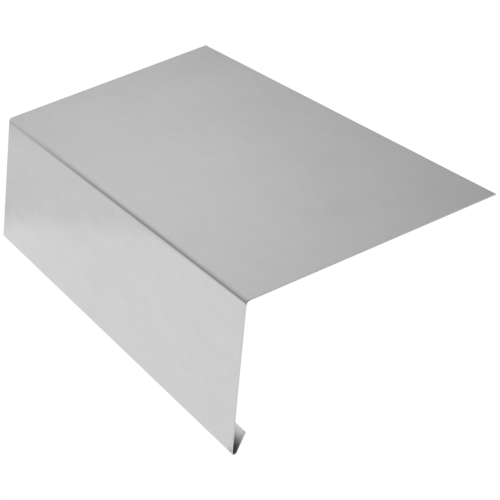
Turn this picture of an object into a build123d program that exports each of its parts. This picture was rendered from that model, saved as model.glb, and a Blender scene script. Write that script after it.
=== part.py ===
from build123d import *
import math
import os

# Gutter apron flashing: one strip of galvanised sheet steel, folded lengthwise.
# From the house outwards its section is a roof flange that lies on the deck,
# a single fold at the eave, a vertical drop face that laps into the gutter,
# and a kick hem turned back in behind the face to stiffen its lower edge.
#
# Frame: X runs along the eave, +Y goes up the roof to the house, +Z is up.
# The origin is on the underside of the roof flange, at mid-length, on the line
# where the flange leaves the fold: the deck's lower front edge sits there.

# ---- driving dimensions, in millimetres and degrees -------------------------
LENGTH = 304.8            # sample length along the eave
SHEET = 0.475             # 28 gauge galvanised sheet
ROOF_FLANGE = 125.7       # along the top, from the fold's virtual corner to the back edge
DROP_FACE = 70.3          # from the fold's virtual corner down to the hem's lowest line
ROOF_PITCH = 19.25        # slope of the roof flange above horizontal, close to 4 in 12
FOLD_RADIUS = 1.9         # outer radius of the eave fold
HEM_RADIUS = 1.3          # outer radius of the kick hem's bend
HEM_ANGLE = 22.0          # the kick hem stays open by this angle from the face
HEM_LEAF = 9.9            # straight length of the kick hem after its bend

# ---- directions in the section plane, as (y, z) ------------------------------
pitch = math.radians(ROOF_PITCH)
up_slope = (math.cos(pitch), math.sin(pitch))
flange_normal = (-math.sin(pitch), math.cos(pitch))
kick = math.radians(HEM_ANGLE)
up_leaf = (math.sin(kick), math.cos(kick))


def along(p, d, s):
    return (p[0] + d[0] * s, p[1] + d[1] * s)


def on_arc(c, r, degrees):
    a = math.radians(degrees)
    return (c[0] + r * math.cos(a), c[1] + r * math.sin(a))


# ---- the two bends ------------------------------------------------------------
# Fold at the eave: the arc runs from straight out of the face (180 degrees)
# up to square out of the roof flange (90 degrees plus the pitch).
fold_centre = along((0.0, 0.0), flange_normal, -(FOLD_RADIUS - SHEET))
fold_from, fold_to = 180.0, 90.0 + ROOF_PITCH
setback = FOLD_RADIUS * math.tan(math.radians((fold_from - fold_to) / 2))
corner = (fold_centre[0] - FOLD_RADIUS, fold_centre[1] + setback)

# Kick hem: the arc goes under the face's lower edge and up behind it.
hem_centre = (corner[0] + HEM_RADIUS, corner[1] - DROP_FACE + HEM_RADIUS)
hem_from, hem_to = 180.0, 360.0 - HEM_ANGLE


def side(depth):
    """The section's points at a depth below its outer skin, roof flange first:
    back edge, fold start, fold middle, fold end, hem start, hem middle, hem end, tip."""
    fold_r, hem_r = FOLD_RADIUS - depth, HEM_RADIUS - depth
    back = along(along(corner, up_slope, ROOF_FLANGE), flange_normal, -depth)
    hem_end = on_arc(hem_centre, hem_r, hem_to)
    return [
        back,
        on_arc(fold_centre, fold_r, fold_to),
        on_arc(fold_centre, fold_r, (fold_from + fold_to) / 2),
        on_arc(fold_centre, fold_r, fold_from),
        on_arc(hem_centre, hem_r, hem_from),
        on_arc(hem_centre, hem_r, (hem_from + hem_to) / 2),
        hem_end,
        along(hem_end, up_leaf, HEM_LEAF),
    ]


def skin(p):
    """Flange, fold, face, hem bend and kick leaf on one side of the sheet."""
    return [
        Line(p[0], p[1]),
        ThreePointArc(p[1], p[2], p[3]),
        Line(p[3], p[4]),
        ThreePointArc(p[4], p[5], p[6]),
        Line(p[6], p[7]),
    ]


outer, inner = side(0.0), side(SHEET)
edges = (
    skin(outer)
    + [Line(outer[-1], inner[-1])]   # sheared edge of the kick
    + skin(inner)
    + [Line(inner[0], outer[0])]     # sheared back edge of the roof flange
)

# ---- the sheet ------------------------------------------------------------------
section = make_face(Curve() + edges)
section_on_end = Plane(
    origin=(-LENGTH / 2, 0, 0), x_dir=(0, 1, 0), z_dir=(1, 0, 0)
) * section
gutter_apron = extrude(section_on_end, amount=LENGTH, dir=(1, 0, 0))

# the developed strip, as a check on the section: straight runs and mid-sheet arcs
mid = SHEET / 2
strip = (
    (ROOF_FLANGE - setback)
    + (FOLD_RADIUS - mid) * math.radians(fold_from - fold_to)
    + (DROP_FACE - setback - HEM_RADIUS)
    + (HEM_RADIUS - mid) * math.radians(hem_to - hem_from)
    + HEM_LEAF
)
solid = gutter_apron.solids()[0]
box = solid.bounding_box()
print(f"solids {len(gutter_apron.solids())}, valid {solid.is_valid}")
print(f"volume {solid.volume:.2f} mm3, strip {strip:.3f} x {LENGTH} x {SHEET} = {strip * LENGTH * SHEET:.2f} mm3")
print(f"box x {box.min.X:.3f} {box.max.X:.3f}  y {box.min.Y:.3f} {box.max.Y:.3f}  z {box.min.Z:.3f} {box.max.Z:.3f}")
print(f"corner {corner}, back top {outer[0]}, kick tip outer {outer[-1]} inner {inner[-1]}")
print(f"flat of the roof flange {ROOF_FLANGE - setback:.3f} mm, of the face {DROP_FACE - setback - HEM_RADIUS:.3f} mm")

os.makedirs("parts", exist_ok=True)
export_step(solid, "parts/gutter_apron.step")
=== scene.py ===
"""Looks of a gutter apron: one strip of bright galvanised sheet, folded along the eave and hemmed along its lower edge.

Everything is in metres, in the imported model's own frame: +X runs along the eave, +Y to the house, +Z up.
"""

import math

import bpy
import numpy as np
from mathutils import Matrix, Vector


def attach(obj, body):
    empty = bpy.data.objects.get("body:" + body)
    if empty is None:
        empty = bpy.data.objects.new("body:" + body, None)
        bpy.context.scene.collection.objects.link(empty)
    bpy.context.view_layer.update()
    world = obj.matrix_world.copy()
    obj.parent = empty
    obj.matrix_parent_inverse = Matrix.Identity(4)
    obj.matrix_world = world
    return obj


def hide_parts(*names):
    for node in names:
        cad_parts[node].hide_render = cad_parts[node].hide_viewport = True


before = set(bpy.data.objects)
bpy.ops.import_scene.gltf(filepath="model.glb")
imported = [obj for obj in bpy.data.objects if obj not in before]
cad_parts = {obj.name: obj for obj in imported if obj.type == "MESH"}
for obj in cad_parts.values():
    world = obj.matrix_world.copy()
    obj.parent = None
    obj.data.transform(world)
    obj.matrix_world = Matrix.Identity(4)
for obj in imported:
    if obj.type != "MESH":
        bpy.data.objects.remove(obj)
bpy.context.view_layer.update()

MM = 0.001

# The same section as the CAD part.
LENGTH = 304.8 * MM
SHEET = 0.475 * MM
ROOF_FLANGE = 125.7 * MM
DROP_FACE = 70.3 * MM
ROOF_PITCH = math.radians(19.25)
FOLD_RADIUS = 1.9 * MM
HEM_RADIUS = 1.3 * MM
HEM_ANGLE = math.radians(22.0)
HEM_LEAF = 9.9 * MM

# What the shears leave: how far a cut edge is rounded over.
CUT_ROUND = 0.06 * MM
# The burr that the shears turned inward along the lowest part of the face's cut, at the +X end.
BURR = 0.22 * MM
# How much duller the sheet is beside its cut edges.
EDGE_WEAR = 0.08
# How far the flats wander from true, which only shows in what they reflect.
ROOF_WAVE = 0.05 * MM
FACE_WAVE = 0.045 * MM

# The fold seen close: a tighter core than the plain arc, easing off into both flats, between the same two planes.
BEND_RADIUS = 1.5 * MM
EASE_ROOF = 0.3 * MM
EASE_FACE = 0.5 * MM

UP_SLOPE = np.array([math.cos(ROOF_PITCH), math.sin(ROOF_PITCH)])
ROOF_OUT = np.array([-math.sin(ROOF_PITCH), math.cos(ROOF_PITCH)])
UP_LEAF = np.array([math.sin(HEM_ANGLE), math.cos(HEM_ANGLE)])
FOLD_TOP = math.pi / 2 + ROOF_PITCH
FOLD_LOW = math.pi
MID = SHEET / 2
CORNER = -ROOF_OUT * (FOLD_RADIUS - SHEET) + FOLD_RADIUS * np.array([-1.0, math.tan((FOLD_LOW - FOLD_TOP) / 2)])


def bend():
    """The fold's outer skin from the roof flange to the face: how far along, the outward angle and the place."""
    turn = FOLD_LOW - FOLD_TOP
    half = (BEND_RADIUS - MID) * turn / 2
    step = 0.005 * MM
    run = np.arange(-half - 7 * EASE_ROOF, half + 7 * EASE_FACE, step)

    def eased(x):
        share = EASE_ROOF + EASE_FACE
        low = EASE_ROOF / share * np.exp(np.minimum(x, 0) / EASE_ROOF)
        high = 1 - EASE_FACE / share * np.exp(-np.maximum(x, 0) / EASE_FACE)
        return np.where(x < 0, low, high)

    turned = np.cumsum(eased(run + half) - eased(run - half))
    angle = FOLD_TOP + turn * (turned - turned[0]) / (turned[-1] - turned[0])
    out = np.stack([np.cos(angle), np.sin(angle)], 1)
    ahead = np.stack([-out[:, 1], out[:, 0]], 1)
    skin = np.cumsum(ahead, axis=0) * step + out * MID
    across = skin[-1] - skin[0]
    to_roof = -across[0] / UP_SLOPE[0]
    to_face = -across[1] - to_roof * UP_SLOPE[1]
    skin += CORNER + UP_SLOPE * to_roof - skin[0]
    run -= run[0]
    pace = 0.7 * (angle - angle[0]) / turn + 0.3 * run / run[-1]
    return run, angle, skin, pace, to_roof, to_face


BEND_AT, BEND_ANGLE, BEND_SKIN, BEND_PACE, TO_ROOF, TO_FACE = bend()
HEM_CENTRE = np.array([CORNER[0] + HEM_RADIUS, CORNER[1] - DROP_FACE + HEM_RADIUS])
HEM_START = math.pi
HEM_END = 2 * math.pi - HEM_ANGLE
LEAF_OUT = np.array([math.cos(HEM_END), math.sin(HEM_END)])

ROOF_FLAT = ROOF_FLANGE - TO_ROOF
FACE_FLAT = DROP_FACE - TO_FACE - HEM_RADIUS
FOLD_RUN = BEND_AT[-1]
HEM_RUN = (HEM_RADIUS - MID) * (HEM_END - HEM_START)
HEM_AT = ROOF_FLAT + FOLD_RUN + FACE_FLAT
STRIP = HEM_AT + HEM_RUN + HEM_LEAF


def spaced(length, step, near=(0.25, 0.8, 2.0), both=True):
    """Distances from 0 to length, close together beside the ends, where a bend or a cut edge begins."""
    near = [n * MM for n in near]
    inner = near[-1]
    outer = length - (near[-1] if both else 0.0)
    count = max(2, round((outer - inner) / step))
    middle = list(np.linspace(inner, outer, count + 1))
    head = [0.0] + near[:-1]
    tail = [length - n for n in reversed(near[:-1])] + [length] if both else []
    return np.array(head + middle + tail)


def unit(angle):
    return np.array([math.cos(angle), math.sin(angle)])


# Each entry is (stretch, how far along it), from the back edge over the fold and down the face to the hem's tip.
RUN = (
    [("roof", a) for a in spaced(ROOF_FLAT - CUT_ROUND, 4.0 * MM)[::-1]]
    + [("fold", np.interp(k, BEND_PACE, BEND_AT / FOLD_RUN)) for k in np.linspace(0, 1, 45)[1:-1]]
    + [("face", b) for b in spaced(FACE_FLAT, 3.2 * MM)]
    + [("hem", k) for k in np.linspace(0, 1, 37)[1:-1]]
    + [("leaf", c) for c in spaced(HEM_LEAF - CUT_ROUND, 1.2 * MM, (0.2, 0.6, 1.2))]
)


def developed(stretch, along):
    """Distance from the back edge, measured on the flat strip before it was bent."""
    if stretch == "roof":
        return ROOF_FLAT - along
    if stretch == "fold":
        return ROOF_FLAT + along * FOLD_RUN
    if stretch == "face":
        return ROOF_FLAT + FOLD_RUN + along
    if stretch == "hem":
        return HEM_AT + along * HEM_RUN
    return HEM_AT + HEM_RUN + along


def place(stretch, along, depth):
    """A point of the section, that deep below the weather side, and the weather side's outward direction there."""
    if stretch == "roof":
        return CORNER + UP_SLOPE * (TO_ROOF + along) - ROOF_OUT * depth, ROOF_OUT
    if stretch == "fold":
        at = along * FOLD_RUN
        out = unit(np.interp(at, BEND_AT, BEND_ANGLE))
        skin = np.array([np.interp(at, BEND_AT, BEND_SKIN[:, i]) for i in (0, 1)])
        return skin - out * depth, out
    if stretch == "face":
        return CORNER + np.array([depth, -TO_FACE - along]), np.array([-1.0, 0.0])
    if stretch == "hem":
        out = unit(HEM_START + along * (HEM_END - HEM_START))
        return HEM_CENTRE + out * (HEM_RADIUS - depth), out
    end = HEM_CENTRE + LEAF_OUT * (HEM_RADIUS - depth)
    return end + UP_LEAF * along, LEAF_OUT


rng = np.random.default_rng(11)


def ripples(count, short, long, squash):
    """A few long plane waves with set lengths, mostly across the strip's length."""
    waves = []
    for _ in range(count):
        size = rng.uniform(short, long)
        turn = rng.uniform(-0.5, 0.5)
        waves.append(
            (
                2 * math.pi / size * math.cos(turn),
                2 * math.pi / size * math.sin(turn) * squash,
                rng.uniform(0, 2 * math.pi),
                size / long,
            )
        )
    return waves


ROOF_RIPPLES = ripples(5, 70 * MM, 190 * MM, 1.0)
FACE_RIPPLES = ripples(5, 60 * MM, 150 * MM, 1.6)


def ease(x):
    x = min(1.0, max(0.0, x))
    return x * x * (3 - 2 * x)


def wander(stretch, along, x):
    """How far the flat stands off true at this point, outward positive."""
    if stretch == "roof":
        waves, size = ROOF_RIPPLES, ROOF_WAVE * ease(along / (45 * MM))
    elif stretch == "face":
        waves, size = FACE_RIPPLES, FACE_WAVE * ease(along / (18 * MM)) * ease((FACE_FLAT - along) / (18 * MM))
    else:
        return 0.0
    if size == 0.0:
        return 0.0
    total = sum(w * math.sin(kx * x + ka * along + p) for kx, ka, p, w in waves)
    return size * total / math.sqrt(len(waves))


def burr(stretch, along, x):
    """How much thicker the sheet is here, on its inner side."""
    close = ease((x - (LENGTH / 2 - 0.42 * MM)) / (0.36 * MM))
    if stretch == "face":
        return BURR * close * ease((along - (FACE_FLAT - 18 * MM)) / (9 * MM))
    if stretch == "hem":
        return BURR * close * ease(1 - along / 0.45)
    return 0.0


CORNER_TURNS = (0.25, 0.5, 0.75)
WEATHER_SIDE, INNER_SIDE, CUT = 0, 1, 2


def ring(x, inset):
    """The closed section at one place along the strip, pulled in all round by inset, with its place on the flat strip."""
    left = CUT_ROUND - inset
    points, flat = [], []

    def add(point, out, stretch, along, depth, beyond=0.0):
        lift = wander(stretch, along, x)
        point = point + out * lift
        points.append((x, point[0], point[1]))
        flat.append((x, developed(stretch, along) + beyond, depth))

    for stretch, along in RUN:  # weather side, back edge to tip
        point, out = place(stretch, along, inset)
        add(point, out, stretch, along, inset)
    stretch, along = RUN[-1]
    for side in (0, 1):  # round the tip
        centre_depth = CUT_ROUND if side == 0 else SHEET - CUT_ROUND
        turns = CORNER_TURNS + (1.0,) if side == 0 else (0.0,) + CORNER_TURNS
        for turn in turns:
            angle = turn * math.pi / 2
            up, sink = (math.sin(angle), math.cos(angle)) if side == 0 else (math.cos(angle), -math.sin(angle))
            depth = centre_depth - left * sink
            point, out = place(stretch, along, depth)
            add(point + UP_LEAF * left * up, out, stretch, along, depth, left * up)
    for stretch, along in reversed(RUN):  # inner side, tip to back edge
        depth = SHEET - inset + burr(stretch, along, x)
        point, out = place(stretch, along, depth)
        add(point, out, stretch, along, depth)
    stretch, along = RUN[0]
    for side in (1, 0):  # round the back edge
        centre_depth = CUT_ROUND if side == 0 else SHEET - CUT_ROUND
        turns = CORNER_TURNS + (1.0,) if side == 1 else (0.0,) + CORNER_TURNS
        for turn in turns:
            angle = turn * math.pi / 2
            up, sink = (math.sin(angle), -math.cos(angle)) if side == 1 else (math.cos(angle), math.sin(angle))
            depth = centre_depth - left * sink
            point, out = place(stretch, along, depth)
            add(point + UP_SLOPE * left * up, out, stretch, along, depth, -left * up)
    return points, flat


def build_sheet():
    roll = [math.radians(a) for a in (78.46, 52.0, 26.0, 0.0)]
    ends = [(CUT_ROUND * (1 - math.sin(a)), CUT_ROUND * (1 - math.cos(a))) for a in roll]
    ends[0] = (0.0, ends[0][1])
    inside = spaced(LENGTH - 2 * CUT_ROUND, 4.0 * MM)[1:-1] + CUT_ROUND
    stations = (
        [(-LENGTH / 2 + off, inset) for off, inset in ends]
        + [(-LENGTH / 2 + off, 0.0) for off in inside]
        + [(LENGTH / 2 - off, inset) for off, inset in reversed(ends)]
    )
    verts, flat = [], []
    for x, inset in stations:
        p, q = ring(x, inset)
        verts += p
        flat += q
    size = len(verts) // len(stations)
    run = len(RUN)
    round_off = 2 * (len(CORNER_TURNS) + 1)
    faces, finish = [], []
    edge_spans = set(range(run - 1, run + round_off)) | set(range(2 * run + round_off - 1, size))
    for j in range(len(stations) - 1):
        rim = min(j, len(stations) - 2 - j) < len(roll) - 1
        for i in range(size):
            k = (i + 1) % size
            faces.append((j * size + i, j * size + k, (j + 1) * size + k, (j + 1) * size + i))
            finish.append(CUT if rim or i in edge_spans else WEATHER_SIDE if i < run else INNER_SIDE)
    for j in (0, len(stations) - 1):
        base = j * size
        inner = 2 * run + round_off - 1
        caps = []
        for i in range(run - 1):
            caps.append((base + i, base + inner - i, base + inner - i - 1, base + i + 1))
        caps.append(tuple(base + i for i in range(run + round_off, run - 2, -1)))
        caps.append(tuple(base + i % size for i in range(size, inner - 1, -1)))
        if j == 0:
            faces += caps
        else:
            faces += [tuple(reversed(c)) for c in caps]
        finish += [CUT] * len(caps)
    return np.array(verts), faces, np.array(flat), finish


verts, faces, flat, finish = build_sheet()

mesh = bpy.data.meshes.new("apron_sheet")
mesh.from_pydata(verts.tolist(), [], faces)
co = verts
volume = 0.0
normals = np.zeros_like(co)
for f in faces:
    a = co[f[0]]
    area = np.zeros(3)
    for i in range(1, len(f) - 1):
        b, c = co[f[i]], co[f[i + 1]]
        n = np.cross(b - a, c - a)
        area += n
        volume += np.dot(a, n) / 6
    normals[list(f)] += area
if volume < 0:
    mesh.flip_normals()
    normals = -normals
    volume = -volume
normals /= np.linalg.norm(normals, axis=1, keepdims=True)
print("sheet metal in the visual model: %.1f mm3" % (volume * 1e9))

blank = mesh.attributes.new("blank", "FLOAT_VECTOR", "POINT")
blank.data.foreach_set("vector", flat.astype(np.float32).ravel())
mesh.polygons.foreach_set("use_smooth", [True] * len(mesh.polygons))
mesh.polygons.foreach_set("material_index", finish)
mesh.update()
mesh.normals_split_custom_set_from_vertices(normals.tolist())
sheet = bpy.data.objects.new("apron_sheet", mesh)
bpy.context.scene.collection.objects.link(sheet)


class Graph:
    """Short words for building node trees."""

    def __init__(self, tree):
        self.tree = tree
        tree.nodes.clear()

    def node(self, kind, **settings):
        n = self.tree.nodes.new(kind)
        for key, value in settings.items():
            setattr(n, key, value)
        return n

    def put(self, socket, value):
        if isinstance(value, bpy.types.NodeSocket):
            self.tree.links.new(value, socket)
        else:
            socket.default_value = value

    def math(self, operation, *values, clamp=False):
        n = self.node("ShaderNodeMath", operation=operation, use_clamp=clamp)
        for socket, value in zip(n.inputs, values):
            self.put(socket, value)
        return n.outputs[0]

    def vector(self, operation, *values):
        n = self.node("ShaderNodeVectorMath", operation=operation)
        for socket, value in zip(n.inputs, values):
            self.put(socket, value)
        return n.outputs["Value"] if operation in ("DOT_PRODUCT", "LENGTH") else n.outputs["Vector"]

    def ramp(self, value, low, high, to_low=0.0, to_high=1.0, kind="SMOOTHSTEP"):
        n = self.node("ShaderNodeMapRange", interpolation_type=kind)
        for name, v in zip(("Value", "From Min", "From Max", "To Min", "To Max"), (value, low, high, to_low, to_high)):
            self.put(n.inputs[name], v)
        return n.outputs[0]

    def noise(self, coordinates, scale, detail=2.0, roughness=0.5):
        n = self.node("ShaderNodeTexNoise", noise_dimensions="3D")
        self.put(n.inputs["Vector"], coordinates)
        self.put(n.inputs["Scale"], scale)
        self.put(n.inputs["Detail"], detail)
        self.put(n.inputs["Roughness"], roughness)
        return n.outputs[0]

    def mix(self, factor, a, b):
        """a where factor is 0, b where it is 1."""
        return self.math("ADD", self.math("MULTIPLY", a, self.math("SUBTRACT", 1.0, factor)), self.math("MULTIPLY", b, factor))

    def grey(self, value):
        n = self.node("ShaderNodeCombineColor")
        for socket in n.inputs[:3]:
            self.put(socket, value)
        return n.outputs[0]


def stretched(g, coordinates, by):
    n = g.node("ShaderNodeVectorMath", operation="MULTIPLY")
    g.put(n.inputs[0], coordinates)
    n.inputs[1].default_value = by
    return n.outputs["Vector"]


# Faint smudges from handling: place along the strip, distance from the fold (up the roof positive, down the face
# negative), half length and half width in millimetres, and how much duller the middle is.
SMUDGES = (
    (110, 72, 11, 8, 0.034),
    (-4, 90, 13, 8, 0.032),
    (-102, 56, 11, 7, 0.028),
    (128, 110, 14, 7, 0.028),
    (61, 88, 22, 6, 0.026),
    (-9, -47, 12, 7, 0.034),
    (-45, -32, 20, 6, 0.030),
    (17, -33, 10, 6, 0.026),
    (-150, -56, 5, 9, 0.050),
)


def smudged(g, across, down):
    """How much duller the weather side is here."""
    total = None
    for x, up, length, width, amount in SMUDGES:
        s = ROOF_FLANGE - up * MM if up > 0 else ROOF_FLAT + FOLD_RUN - up * MM - TO_FACE
        u = g.math("DIVIDE", g.math("SUBTRACT", across, x * MM), length * MM)
        v = g.math("DIVIDE", g.math("SUBTRACT", down, s), width * MM)
        far = g.math("ADD", g.math("MULTIPLY", u, u), g.math("MULTIPLY", v, v))
        spot = g.math("MULTIPLY", g.math("EXPONENT", g.math("MULTIPLY", far, -math.log(2))), amount)
        total = spot if total is None else g.math("ADD", total, spot)
    return total


def in_hem(g, down):
    """1 down in the hem's bend, fading to 0 towards its mouth on the face and on the leaf."""
    middle = HEM_AT + HEM_RUN / 2
    clear = g.math("SUBTRACT", g.math("ABSOLUTE", g.math("SUBTRACT", down, middle)), HEM_RUN / 2)
    return g.ramp(clear, 0.5 * MM, 8.8 * MM, 1.0, 0.0)


def galvanised(name, bright, polish, roughness, hem_shade=0.0):
    """Zinc on rolled steel, clouded along the rolling direction, with a very small spangle, and, for the inner side,
    painted light and painted shade in and beside the hem.
    """
    material = bpy.data.materials.new(name)
    material.use_nodes = True
    g = Graph(material.node_tree)
    at = g.node("ShaderNodeAttribute", attribute_name="blank").outputs["Vector"]
    # The weather side and the inner side get clouds of their own.
    flat = g.node("ShaderNodeSeparateXYZ")
    g.put(flat.inputs[0], at)
    side = g.node("ShaderNodeVectorMath", operation="MULTIPLY")
    g.put(side.inputs[0], at)
    side.inputs[1].default_value = (1.0, 1.0, 900.0)
    at = side.outputs["Vector"]

    clouds = g.noise(stretched(g, at, (42.0, 125.0, 10.0)), 1.0, 1.5, 0.45)
    broad = g.noise(stretched(g, at, (11.0, 26.0, 10.0)), 1.0, 2.0, 0.5)
    rolled = g.noise(stretched(g, at, (14.0, 3200.0, 10.0)), 1.0, 2.0, 0.6)
    cells = g.node("ShaderNodeTexVoronoi", feature="F1", voronoi_dimensions="3D")
    g.put(cells.inputs["Vector"], stretched(g, at, (330.0, 420.0, 10.0)))
    cells.inputs["Scale"].default_value = 1.0
    cells.inputs["Randomness"].default_value = 1.0
    split = g.node("ShaderNodeSeparateColor")
    g.put(split.inputs[0], cells.outputs["Color"])
    grain = g.noise(stretched(g, at, (1500.0, 2600.0, 10.0)), 1.0, 3.0, 0.6)

    def centred(value, amount):
        return g.math("MULTIPLY", g.math("SUBTRACT", value, 0.5), amount)

    shade = g.math("ADD", bright, centred(clouds, 0.048))
    shade = g.math("ADD", shade, centred(broad, 0.020))
    shade = g.math("ADD", shade, centred(split.outputs[0], 0.008))
    shade = g.math("ADD", shade, centred(rolled, 0.008))

    def darkened(value, amount, where):
        return g.math("MULTIPLY", value, g.math("SUBTRACT", 1.0, g.math("MULTIPLY", where, amount)))

    from_end = g.math("SUBTRACT", LENGTH / 2, g.math("ABSOLUTE", flat.outputs["X"]))
    if hem_shade:
        # On the inner side, painted light and shade stand in for how light reaches into the hem: painted light from
        # above the hem's mouth to the leaf's tip, painted shade down in the hem's bend, and more painted shade within 7
        # mm of its open ends.
        mouth = g.ramp(flat.outputs["Y"], HEM_AT - 12 * MM, HEM_AT - 8 * MM)
        shade = g.math("ADD", shade, g.math("MULTIPLY", mouth, 0.30))
        # Painted shade down in the hem's bend.
        shade = darkened(shade, hem_shade, in_hem(g, flat.outputs["Y"]))
        # Painted shade beside the hem's open ends.
        shade = darkened(shade, 0.32, g.math("MULTIPLY", mouth, g.ramp(from_end, 0.0, 7 * MM, 1.0, 0.0)))
    else:
        # Handling dulls a narrow border along the cut edges, and the shears rubbed the hem's corner at one end.
        border = g.math("MINIMUM", from_end, g.math("MINIMUM", flat.outputs["Y"], g.math("SUBTRACT", STRIP, flat.outputs["Y"])))
        shade = darkened(shade, EDGE_WEAR, g.ramp(border, 0.1 * MM, 1.3 * MM, 1.0, 0.0))
        spot = g.ramp(flat.outputs["X"], LENGTH / 2 - 4.5 * MM, LENGTH / 2 - 0.6 * MM)
        spot = g.math("MULTIPLY", spot, g.ramp(flat.outputs["Y"], HEM_AT - 3.2 * MM, HEM_AT + 0.6 * MM))
        shade = darkened(shade, 0.42, spot)
        shade = darkened(shade, 1.0, smudged(g, flat.outputs["X"], flat.outputs["Y"]))
    rough = g.math("ADD", roughness, centred(clouds, 0.05))
    rough = g.math("ADD", rough, centred(split.outputs[1], 0.02))
    rough = g.math("ADD", rough, centred(grain, 0.02))

    relief = g.math("ADD", centred(split.outputs[2], 0.10), centred(rolled, 0.10))
    relief = g.math("ADD", relief, centred(grain, 0.12))
    relief = g.math("ADD", relief, centred(clouds, 1.8))
    bump = g.node("ShaderNodeBump")
    bump.inputs["Strength"].default_value = 1.0
    bump.inputs["Distance"].default_value = 0.000010
    g.put(bump.inputs["Height"], relief)

    shader = g.node("ShaderNodeBsdfPrincipled")
    shader.inputs["Metallic"].default_value = polish
    g.put(shader.inputs["Base Color"], g.grey(shade))
    g.put(shader.inputs["Roughness"], rough)
    g.put(shader.inputs["Normal"], bump.outputs[0])
    out = g.node("ShaderNodeOutputMaterial")
    g.tree.links.new(shader.outputs[0], out.inputs["Surface"])
    return material


def sheared():
    """The bare cut through the sheet: a burnished strip beside the weather side, and a torn, duller one below it, with
    painted shade at the fold's crease and in the hem.
    """
    material = bpy.data.materials.new("sheared_edge")
    material.use_nodes = True
    g = Graph(material.node_tree)
    at = g.node("ShaderNodeAttribute", attribute_name="blank").outputs["Vector"]
    split = g.node("ShaderNodeSeparateXYZ")
    g.put(split.inputs[0], at)
    ragged = g.noise(stretched(g, at, (2600.0, 2600.0, 900.0)), 1.0, 3.0, 0.6)
    depth = g.math("ADD", g.math("DIVIDE", split.outputs["Z"], SHEET), g.math("MULTIPLY", g.math("SUBTRACT", ragged, 0.5), 0.3))
    torn = g.ramp(depth, 0.36, 0.46)
    fine = g.noise(stretched(g, at, (9000.0, 9000.0, 12000.0)), 1.0, 2.0, 0.5)
    shade = g.math("ADD", g.mix(torn, 0.60, 0.46), g.math("MULTIPLY", g.math("SUBTRACT", fine, 0.5), 0.08))
    # Painted shade: the cut is made darker from the middle of the hem's bend on to the leaf, in the hem's recess.
    hem_recess_shade = g.ramp(split.outputs["Y"], HEM_AT + 0.25 * HEM_RUN, HEM_AT + 0.6 * HEM_RUN)
    hem_recess_shade = g.math("MULTIPLY", hem_recess_shade, in_hem(g, split.outputs["Y"]))
    shade = g.math("MULTIPLY", shade, g.math("SUBTRACT", 1.0, g.math("MULTIPLY", hem_recess_shade, 0.8)))
    # The cut is darker along the roof flange than along the face, and darkest in painted shade where it crosses the
    # fold's crease.
    shade = g.math("MULTIPLY", shade, g.ramp(split.outputs["Y"], ROOF_FLAT, ROOF_FLAT + FOLD_RUN, 0.64, 1.0))
    from_crease = g.math("ABSOLUTE", g.math("SUBTRACT", split.outputs["Y"], ROOF_FLAT + 0.4 * FOLD_RUN))
    shade = g.math("MULTIPLY", shade, g.ramp(from_crease, 0.3 * MM, 2.2 * MM, 0.3, 1.0))
    rough = g.mix(torn, 0.28, 0.5)
    bump = g.node("ShaderNodeBump")
    bump.inputs["Strength"].default_value = 1.0
    bump.inputs["Distance"].default_value = 0.000006
    g.put(bump.inputs["Height"], g.math("MULTIPLY", fine, torn))
    shader = g.node("ShaderNodeBsdfPrincipled")
    shader.inputs["Metallic"].default_value = 1.0
    g.put(shader.inputs["Base Color"], g.grey(shade))
    g.put(shader.inputs["Roughness"], rough)
    g.put(shader.inputs["Normal"], bump.outputs[0])
    out = g.node("ShaderNodeOutputMaterial")
    g.tree.links.new(shader.outputs[0], out.inputs["Surface"])
    return material


mesh.materials.append(galvanised("galvanised_sheet", 0.600, 1.0, 0.080))
# The inner side's last argument is the amount of painted shade in the hem's bend.
mesh.materials.append(galvanised("galvanised_inner_side", 0.67, 0.35, 0.35, 0.80))
mesh.materials.append(sheared())
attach(sheet, "root")
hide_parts("gutter_apron")


# The floor: plain and near white, well below the strip, which hangs at its mount and throws no shadow that reaches it.
# It lights the metal as the table in the room round it does.
FLOOR_DROP = 0.45
TABLE = 0.980
floor_mesh = bpy.data.meshes.new("floor")
rim = [(1.2 * math.cos(a), 1.2 * math.sin(a), -FLOOR_DROP) for a in np.linspace(0, 2 * math.pi, 97)[:-1]]
floor_mesh.from_pydata(rim, [], [tuple(range(len(rim)))])
floor = bpy.data.objects.new("floor", floor_mesh)
bpy.context.scene.collection.objects.link(floor)
paint = bpy.data.materials.new("floor")
paint.use_nodes = True
g = Graph(paint.node_tree)
glow = g.node("ShaderNodeEmission")
glow.inputs["Color"].default_value = (1.0, 1.0, 1.0, 1.0)
seen = g.node("ShaderNodeLightPath").outputs["Is Camera Ray"]
g.put(glow.inputs["Strength"], g.mix(seen, TABLE, 1.005))
out = g.node("ShaderNodeOutputMaterial")
g.tree.links.new(glow.outputs[0], out.inputs["Surface"])
floor_mesh.materials.append(paint)


def toward(turn, height):
    """A direction: turn degrees from -X to +Y, height degrees above the horizon."""
    t, h = math.radians(turn), math.radians(height)
    return (-math.cos(h) * math.cos(t), math.cos(h) * math.sin(t), math.sin(h))


# Soft boxes, and black cards where the amount is negative: amount, turn, height and half width, in degrees.
SOFT_LIGHTS = (
    (0.44, 10.4, 25.6, 6.4),
    (-0.46, -26.1, 7.0, 9.6),
    (0.77, -19.1, 6.4, 8.2),
    (-0.57, 18.0, 17.4, 8.7),
    (0.22, -7.7, 26.8, 4.3),
    (1.28, 37.8, 0.9, 7.0),
    (-0.20, -30.0, -1.5, 4.8),
    (0.14, -33.2, -14.0, 4.0),
    (0.13, -18.7, -14.6, 1.8),
    (0.15, -22.0, -2.0, 2.6),
    (-0.18, -26.0, -11.6, 1.9),
    (0.10, -22.7, -8.9, 1.4),
    (-0.06, 20.8, 34.8, 1.8),
    (1.60, 178.0, 25.0, 27.0),
)


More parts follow.
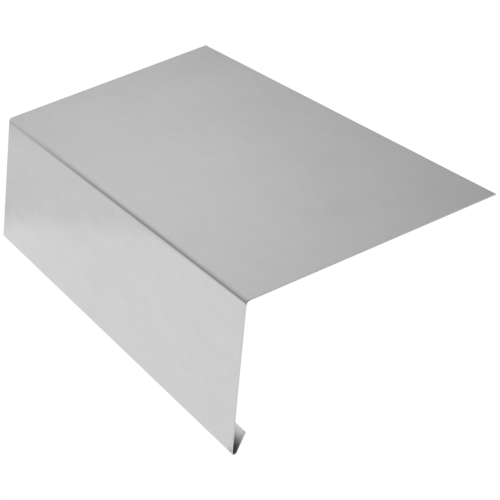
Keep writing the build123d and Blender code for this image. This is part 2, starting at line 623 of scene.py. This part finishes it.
def studio():
    """A white room with soft boxes and darker gaps between them."""
    world = bpy.data.worlds.new("studio")
    world.use_nodes = True
    g = Graph(world.node_tree)
    way = g.node("ShaderNodeTexCoord").outputs["Generated"]
    split = g.node("ShaderNodeSeparateXYZ")
    g.put(split.inputs[0], way)
    height = split.outputs["Z"]

    def lobe(amount, turn, up, width):
        near = g.vector("DOT_PRODUCT", way, toward(turn, up))
        k = 1.0 / math.radians(width) ** 2
        return g.math("MULTIPLY", g.math("EXPONENT", g.math("MULTIPLY", g.math("SUBTRACT", near, 1.0), k)), amount)

    light = 0.605
    for amount, turn, up, width in SOFT_LIGHTS:
        light = g.math("ADD", light, lobe(amount, turn, up, width))
    light = g.math("MAXIMUM", light, 0.03)
    # The room is brighter behind the strip, where only its inner side and its ends face.
    behind = g.ramp(g.vector("DOT_PRODUCT", way, toward(150.0, 10.0)), 0.1, 0.9)
    light = g.math("ADD", light, g.math("MULTIPLY", behind, 0.40))
    # Under the horizon: the far wall, a little shaded along its foot at one end, then the table's brighter edge.
    wall = g.ramp(height, math.sin(math.radians(-13.8)), math.sin(math.radians(-15.0)))
    light = g.mix(wall, light, 0.862)
    light = g.math("ADD", light, lobe(-0.08, -19.0, -16.7, 0.8))
    light = g.math("ADD", light, lobe(-0.17, -24.0, -13.7, 1.0))
    table = g.ramp(height, math.sin(math.radians(-17.2)), math.sin(math.radians(-17.7)))
    light = g.mix(table, light, TABLE)
    light = g.math("ADD", light, lobe(0.05, -19.5, -17.9, 0.6))
    seen = g.node("ShaderNodeLightPath").outputs["Is Camera Ray"]
    light = g.mix(seen, light, 1.02)
    back = g.node("ShaderNodeBackground")
    g.put(back.inputs["Color"], g.grey(light))
    out = g.node("ShaderNodeOutputWorld")
    g.tree.links.new(back.outputs[0], out.inputs["Surface"])
    bpy.context.scene.world = world


studio()

# The photograph's viewpoint.
lens = bpy.data.cameras.new("photo_camera")
lens.sensor_width = 36.0
lens.lens = 124.876
lens.clip_start = 0.05
lens.clip_end = 50.0
camera = bpy.data.objects.new("photo_camera", lens)
right = Vector((0.44004312, 0.89326347, 0.09188265))
up = Vector((-0.31381386, 0.05710342, 0.94776582))
behind = Vector((0.84135778, -0.44589188, 0.30544642))
turned = Matrix((right, up, behind)).transposed().to_4x4()
camera.matrix_world = Matrix.Translation((0.7543034, -0.3208774, 0.2410669)) @ turned
bpy.context.scene.collection.objects.link(camera)
bpy.context.scene.camera = camera

# Light bounces many times between the hem's two walls.
bpy.context.scene.cycles.max_bounces = 24
bpy.context.scene.cycles.glossy_bounces = 20

view = bpy.context.scene.view_settings
view.view_transform = "Standard"
view.look = "None"
view.exposure = 0.0
view.gamma = 1.0

bpy.context.view_layer.update()
